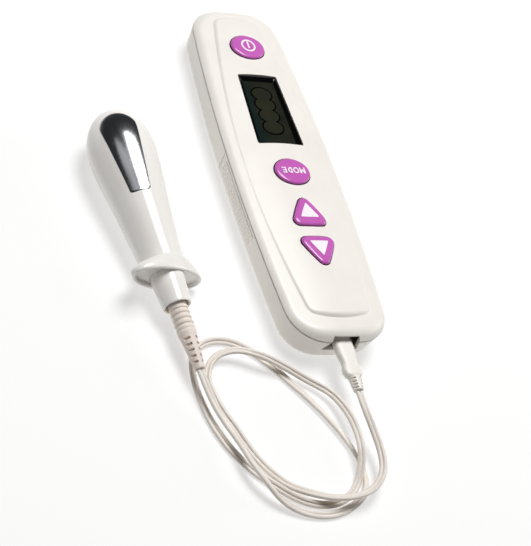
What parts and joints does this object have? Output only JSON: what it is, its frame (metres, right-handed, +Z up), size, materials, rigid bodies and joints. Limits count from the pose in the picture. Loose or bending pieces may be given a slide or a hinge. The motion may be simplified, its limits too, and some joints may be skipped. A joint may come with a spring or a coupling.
{
  "type": "pelvic floor muscle stimulator",
  "caption": "Hand-held electrical muscle stimulator: stick-shaped push-button controller with a display window, joined by a looped twin lead to a pear-shaped probe with metal electrodes.",
  "frame": {"origin": "centre of the controller's underside, on the surface that the whole part lies on", "axes": "+Y along the controller towards its power button, +X across it to the user's right with the display facing up, +Z up out of the control panel"},
  "size_m": [0.0975, 0.2138, 0.0244],
  "materials": {
    "shell_white": "satin moulded ABS",
    "window_black": "polished dark acrylic window",
    "mask_black": "printed film",
    "display_glass": "reflective segment display",
    "button_pink": "glossy moulded ABS",
    "print_white": "pad print",
    "board_green": "solder mask on laminate",
    "contact_steel": "nickel plated spring steel",
    "chip_black": "moulded epoxy",
    "core_dark": "ferrite core",
    "capacitor_sleeve": "shrink sleeve",
    "socket_black": "moulded nylon",
    "cell_jacket": "printed film jacket",
    "screw_steel": "zinc plated steel",
    "plug_ivory": "overmoulded soft PVC",
    "contact_gold": "gold flashed contacts",
    "probe_white": "smooth medical ABS",
    "electrode_steel": "polished stainless steel",
    "sleeve_ivory": "overmoulded soft PVC",
    "lead_pvc": "extruded PVC"
  },
  "bodies": {
    "controller": {"upper_shell": "shell_white", "lower_shell": "shell_white", "window_lens": "window_black", "window_mask": "mask_black", "lcd_module": "display_glass", "circuit_board": "board_green", "dome_switches": "contact_steel", "microcontroller": "chip_black", "step_up_transformer": "core_dark", "output_capacitors": "capacitor_sleeve", "buzzer": "chip_black", "lead_socket": "socket_black", "battery_cell_left": "cell_jacket", "battery_cell_right": "cell_jacket", "battery_springs": "contact_steel", "battery_plates": "contact_steel", "case_screws": "screw_steel", "board_screws": "screw_steel"},
    "power_key": {"power_button": "button_pink", "power_symbol": "print_white"},
    "mode_key": {"mode_button": "button_pink", "mode_legend": "print_white"},
    "up_key": {"up_button": "button_pink", "up_arrow": "print_white"},
    "down_key": {"down_button": "button_pink", "down_arrow": "print_white"},
    "door": {"battery_door": "shell_white"},
    "lead": {"plug_housing": "plug_ivory", "plug_nose": "contact_gold", "plug_strain_relief": "plug_ivory", "lead_cord": "lead_pvc", "probe_strain_relief": "sleeve_ivory", "probe_neck": "probe_white", "probe_flange": "probe_white", "probe_body": "probe_white", "electrode_upper": "electrode_steel", "electrode_lower": "electrode_steel"}
  },
  "joints": [
    {"name": "power_press", "type": "slide", "parent": "controller", "child": "power_key", "axis": [0, 0, -1], "range_m": [0, 0.0005], "stiffness_N_per_m": 1500},
    {"name": "mode_press", "type": "slide", "parent": "controller", "child": "mode_key", "axis": [0, 0, -1], "range_m": [0, 0.0005], "stiffness_N_per_m": 1500},
    {"name": "up_press", "type": "slide", "parent": "controller", "child": "up_key", "axis": [0, 0, -1], "range_m": [0, 0.0005], "stiffness_N_per_m": 1500},
    {"name": "down_press", "type": "slide", "parent": "controller", "child": "down_key", "axis": [0, 0, -1], "range_m": [0, 0.0005], "stiffness_N_per_m": 1500},
    {"name": "door_slide", "type": "slide", "parent": "controller", "child": "door", "axis": [0, -1, 0], "range_m": [0, 0.006]},
    {"name": "lead_unplug", "type": "slide", "parent": "controller", "child": "lead", "axis": [0, -1, 0], "range_m": [0, 0.009]}
  ]
}
